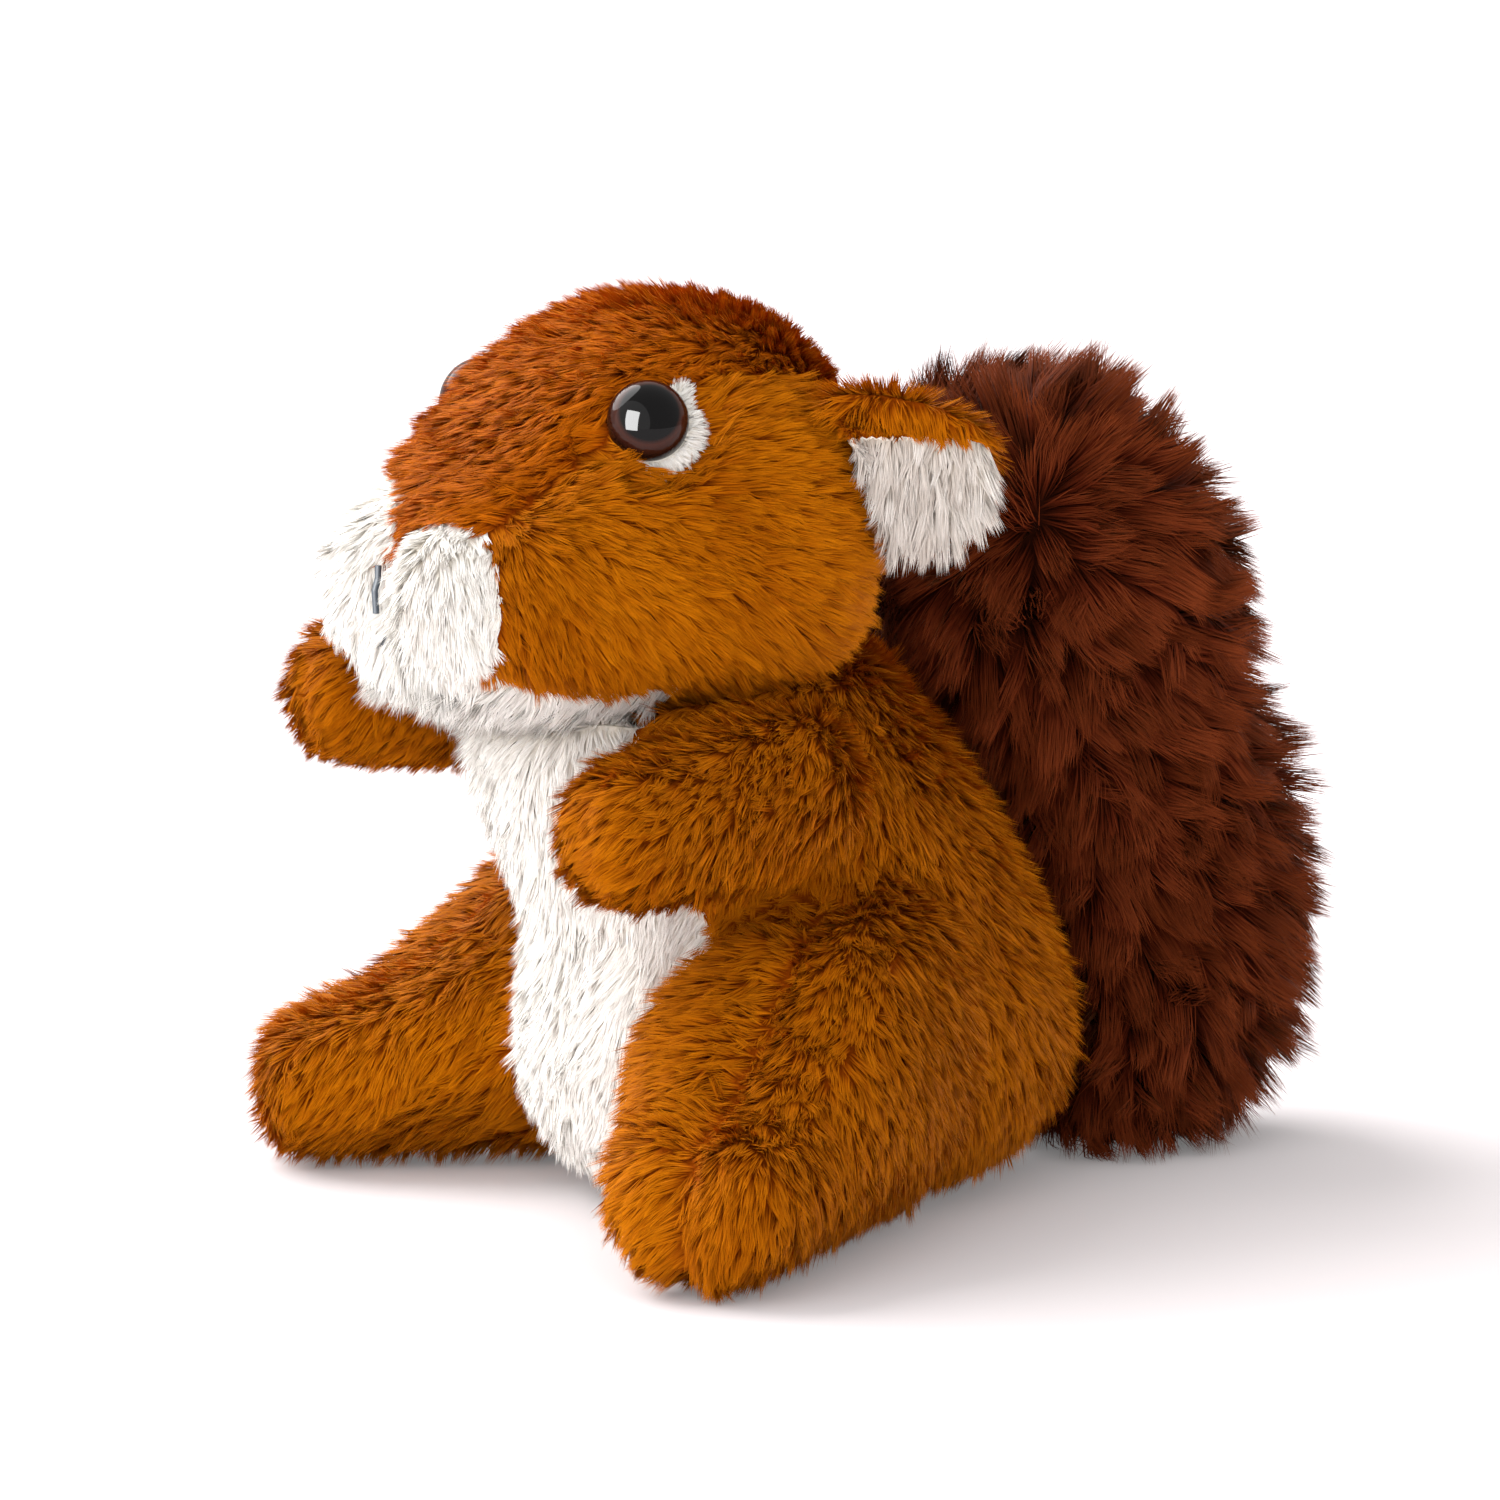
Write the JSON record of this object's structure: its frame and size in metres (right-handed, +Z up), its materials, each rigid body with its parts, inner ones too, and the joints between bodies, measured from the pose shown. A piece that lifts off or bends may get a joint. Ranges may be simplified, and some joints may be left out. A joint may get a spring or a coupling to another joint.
{
  "type": "plush squirrel",
  "caption": "Small sitting plush squirrel in golden-brown pile with a white belly, black eyes and a bushy dark tail.",
  "frame": {"origin": "middle of the flat seat, on the surface that the toy sits on", "axes": "+Z up out of the seat, -Y towards the nose, +X towards the toy's own left side"},
  "size_m": [0.1174, 0.1403, 0.1146],
  "materials": {
    "golden_plush": "matte",
    "chestnut_plush": "matte",
    "white_plush": "matte",
    "tail_plush": "matte",
    "felt": "matte",
    "thread": "matte",
    "stuffing": "matte",
    "eye_plastic": "gloss",
    "washer_plastic": "matte"
  },
  "bodies": {
    "root": {"head_gusset": "chestnut_plush", "left_cheek_panel": "golden_plush", "right_cheek_panel": "golden_plush", "left_muzzle_patch": "white_plush", "right_muzzle_patch": "white_plush", "chin_panel": "white_plush", "head_filling": "stuffing", "left_ear_front": "white_plush", "right_ear_front": "white_plush", "left_ear_back": "chestnut_plush", "right_ear_back": "chestnut_plush", "left_eye": "eye_plastic", "right_eye": "eye_plastic", "left_eye_washer": "washer_plastic", "right_eye_washer": "washer_plastic", "left_eye_felt": "felt", "right_eye_felt": "felt", "nose_stitch": "thread", "mouth_stitch": "thread", "belly_panel": "white_plush", "left_side_panel": "golden_plush", "right_side_panel": "golden_plush", "left_leg_inner_panel": "golden_plush", "right_leg_inner_panel": "golden_plush", "body_filling": "stuffing", "left_arm_outer_panel": "golden_plush", "left_arm_inner_panel": "golden_plush", "left_arm_filling": "stuffing", "right_arm_outer_panel": "golden_plush", "right_arm_inner_panel": "golden_plush", "right_arm_filling": "stuffing", "left_tail_panel": "tail_plush", "right_tail_panel": "tail_plush", "tail_filling": "stuffing"}
  },
  "joints": []
}
